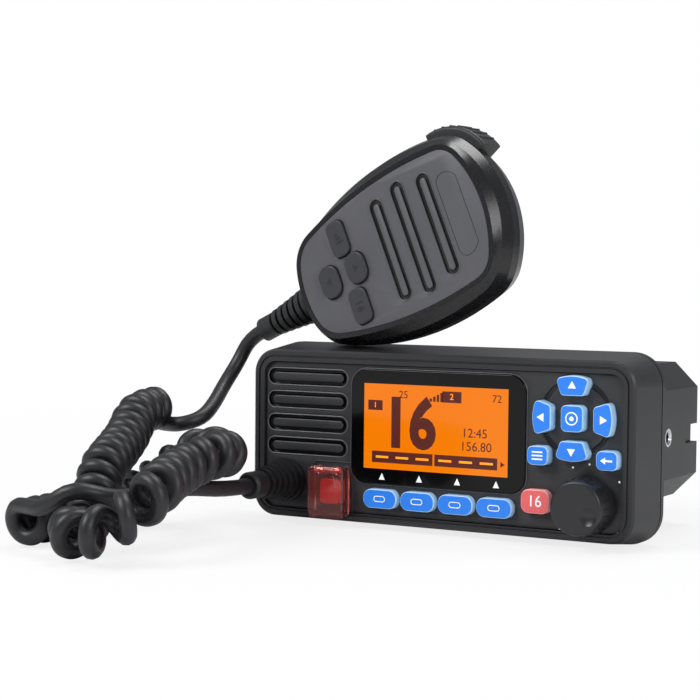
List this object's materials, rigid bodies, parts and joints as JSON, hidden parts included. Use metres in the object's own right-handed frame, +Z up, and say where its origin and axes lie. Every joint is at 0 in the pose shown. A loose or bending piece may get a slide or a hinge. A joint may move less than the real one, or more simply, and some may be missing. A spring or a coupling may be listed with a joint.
{
  "type": "vhf marine radio",
  "caption": "Fixed-mount marine radio with a display, keypad, knob, guarded call button and a fist microphone on a coiled cord, resting on its housing.",
  "frame": {"origin": "centre, left to right, of the underside of the housing's rear lip, on the surface that the radio stands on", "axes": "+X to the viewer's right, -Y out of the front panel, +Z up"},
  "size_m": [0.2087, 0.2372, 0.1543],
  "materials": {
    "chassis": "fine textured",
    "housing": "satin",
    "rubber": "matte",
    "panel": "textured",
    "clear": "gloss",
    "lcd": "lit",
    "backlight": "white",
    "board": "lacquered",
    "steel": "bright",
    "magnet": "plain",
    "cone": "pressed",
    "cord": "matte",
    "blue_key": "satin",
    "red_key": "satin",
    "pad_key": "satin",
    "knob": "satin",
    "cover": "clear red",
    "shell": "satin",
    "grey": "satin"
  },
  "bodies": {
    "radio": {"chassis": "chassis", "front_housing": "housing", "housing_seal": "rubber", "front_panel": "panel", "display_lens": "clear", "lcd_module": "lcd", "backlight": "backlight", "keypad_mat": "rubber", "front_board": "board", "distress_switch": "panel", "radio_board": "board", "shield_can": "steel", "speaker_frame": "panel", "speaker_magnet": "magnet", "speaker_cone": "cone", "rotary_encoder": "steel", "cord_boot": "rubber", "cord_gland": "panel", "side_inserts": "steel", "antenna_socket": "steel", "socket_screws": "steel", "power_gland": "rubber", "cover_pin": "steel", "cover_spring": "steel", "curly_cord": "cord", "radio_lead": "cord", "mic_lead": "cord"},
    "soft_key_1": {"soft_key_1": "blue_key"},
    "soft_key_2": {"soft_key_2": "blue_key"},
    "soft_key_3": {"soft_key_3": "blue_key"},
    "soft_key_4": {"soft_key_4": "blue_key"},
    "channel_key": {"channel_key": "red_key"},
    "enter_key": {"enter_key": "pad_key"},
    "menu_key": {"menu_key": "pad_key"},
    "back_key": {"back_key": "pad_key"},
    "up_key": {"up_key": "pad_key"},
    "right_key": {"right_key": "pad_key"},
    "down_key": {"down_key": "pad_key"},
    "left_key": {"left_key": "pad_key"},
    "distress_button": {"distress_button": "red_key"},
    "knob": {"channel_knob": "knob", "knob_shaft": "steel"},
    "cover": {"distress_cover": "cover"},
    "microphone": {"mic_front_shell": "shell", "mic_face_plate": "grey", "mic_rear_shell": "shell", "mic_board": "board", "mic_capsule": "magnet", "ptt_switch": "panel", "hanger_stud": "steel", "mic_screws": "steel", "mic_boot": "rubber"},
    "mic_up_key": {"mic_up_key": "pad_key"},
    "mic_down_key": {"mic_down_key": "pad_key"},
    "mic_level_key": {"mic_level_key": "pad_key"},
    "mic_channel_key": {"mic_channel_key": "red_key"},
    "ptt_button": {"ptt_button": "rubber"}
  },
  "joints": [
    {"name": "soft_key_1_press", "type": "slide", "parent": "radio", "child": "soft_key_1", "axis": [0, 1, 0], "range_m": [0, 0.0008], "stiffness_N_per_m": 900, "springref_m": -0.0008},
    {"name": "soft_key_2_press", "type": "slide", "parent": "radio", "child": "soft_key_2", "axis": [0, 1, 0], "range_m": [0, 0.0008], "stiffness_N_per_m": 900, "springref_m": -0.0008},
    {"name": "soft_key_3_press", "type": "slide", "parent": "radio", "child": "soft_key_3", "axis": [0, 1, 0], "range_m": [0, 0.0008], "stiffness_N_per_m": 900, "springref_m": -0.0008},
    {"name": "soft_key_4_press", "type": "slide", "parent": "radio", "child": "soft_key_4", "axis": [0, 1, 0], "range_m": [0, 0.0008], "stiffness_N_per_m": 900, "springref_m": -0.0008},
    {"name": "channel_key_press", "type": "slide", "parent": "radio", "child": "channel_key", "axis": [0, 1, 0], "range_m": [0, 0.0008], "stiffness_N_per_m": 900, "springref_m": -0.0008},
    {"name": "enter_key_press", "type": "slide", "parent": "radio", "child": "enter_key", "axis": [0, 1, 0], "range_m": [0, 0.0008], "stiffness_N_per_m": 900, "springref_m": -0.0008},
    {"name": "menu_key_press", "type": "slide", "parent": "radio", "child": "menu_key", "axis": [0, 1, 0], "range_m": [0, 0.0008], "stiffness_N_per_m": 900, "springref_m": -0.0008},
    {"name": "back_key_press", "type": "slide", "parent": "radio", "child": "back_key", "axis": [0, 1, 0], "range_m": [0, 0.0008], "stiffness_N_per_m": 900, "springref_m": -0.0008},
    {"name": "up_key_press", "type": "slide", "parent": "radio", "child": "up_key", "axis": [0, 1, 0], "range_m": [0, 0.0008], "stiffness_N_per_m": 900, "springref_m": -0.0008},
    {"name": "right_key_press", "type": "slide", "parent": "radio", "child": "right_key", "axis": [0, 1, 0], "range_m": [0, 0.0008], "stiffness_N_per_m": 900, "springref_m": -0.0008},
    {"name": "down_key_press", "type": "slide", "parent": "radio", "child": "down_key", "axis": [0, 1, 0], "range_m": [0, 0.0008], "stiffness_N_per_m": 900, "springref_m": -0.0008},
    {"name": "left_key_press", "type": "slide", "parent": "radio", "child": "left_key", "axis": [0, 1, 0], "range_m": [0, 0.0008], "stiffness_N_per_m": 900, "springref_m": -0.0008},
    {"name": "distress_button_press", "type": "slide", "parent": "radio", "child": "distress_button", "axis": [0, 1, 0], "range_m": [0, 0.0008], "stiffness_N_per_m": 900, "springref_m": -0.0008},
    {"name": "knob_turn", "type": "hinge", "parent": "radio", "child": "knob", "pos_m": [0.0624, -0.03, 0.0159], "axis": [0, -1, 0], "continuous": true},
    {"name": "cover_flip", "type": "hinge", "parent": "radio", "child": "cover", "pos_m": [-0.0439, -0.0236, 0.0219], "axis": [-1, 0, 0], "range_deg": [0, 100], "stiffness_Nm_per_rad": 0.0015, "springref_deg": -34.38},
    {"name": "mic_lift", "type": "slide", "parent": "radio", "child": "microphone", "axis": [0, 0, 1], "range_m": [0, 0.08], "deforming": ["mic_lead", "curly_cord"]},
    {"name": "mic_up_key_press", "type": "slide", "parent": "microphone", "child": "mic_up_key", "axis": [0.138, 0.9904, -0.011], "range_m": [0, 0.0008], "stiffness_N_per_m": 900, "springref_m": -0.0008},
    {"name": "mic_down_key_press", "type": "slide", "parent": "microphone", "child": "mic_down_key", "axis": [0.138, 0.9904, -0.011], "range_m": [0, 0.0008], "stiffness_N_per_m": 900, "springref_m": -0.0008},
    {"name": "mic_level_key_press", "type": "slide", "parent": "microphone", "child": "mic_level_key", "axis": [0.138, 0.9904, -0.011], "range_m": [0, 0.0008], "stiffness_N_per_m": 900, "springref_m": -0.0008},
    {"name": "mic_channel_key_press", "type": "slide", "parent": "microphone", "child": "mic_channel_key", "axis": [0.138, 0.9904, -0.011], "range_m": [0, 0.0008], "stiffness_N_per_m": 900, "springref_m": -0.0008},
    {"name": "ptt_press", "type": "slide", "parent": "microphone", "child": "ptt_button", "axis": [-0.1505, 0.01, -0.9886], "range_m": [0, 0.0016], "stiffness_N_per_m": 900, "springref_m": -0.0012}
  ]
}
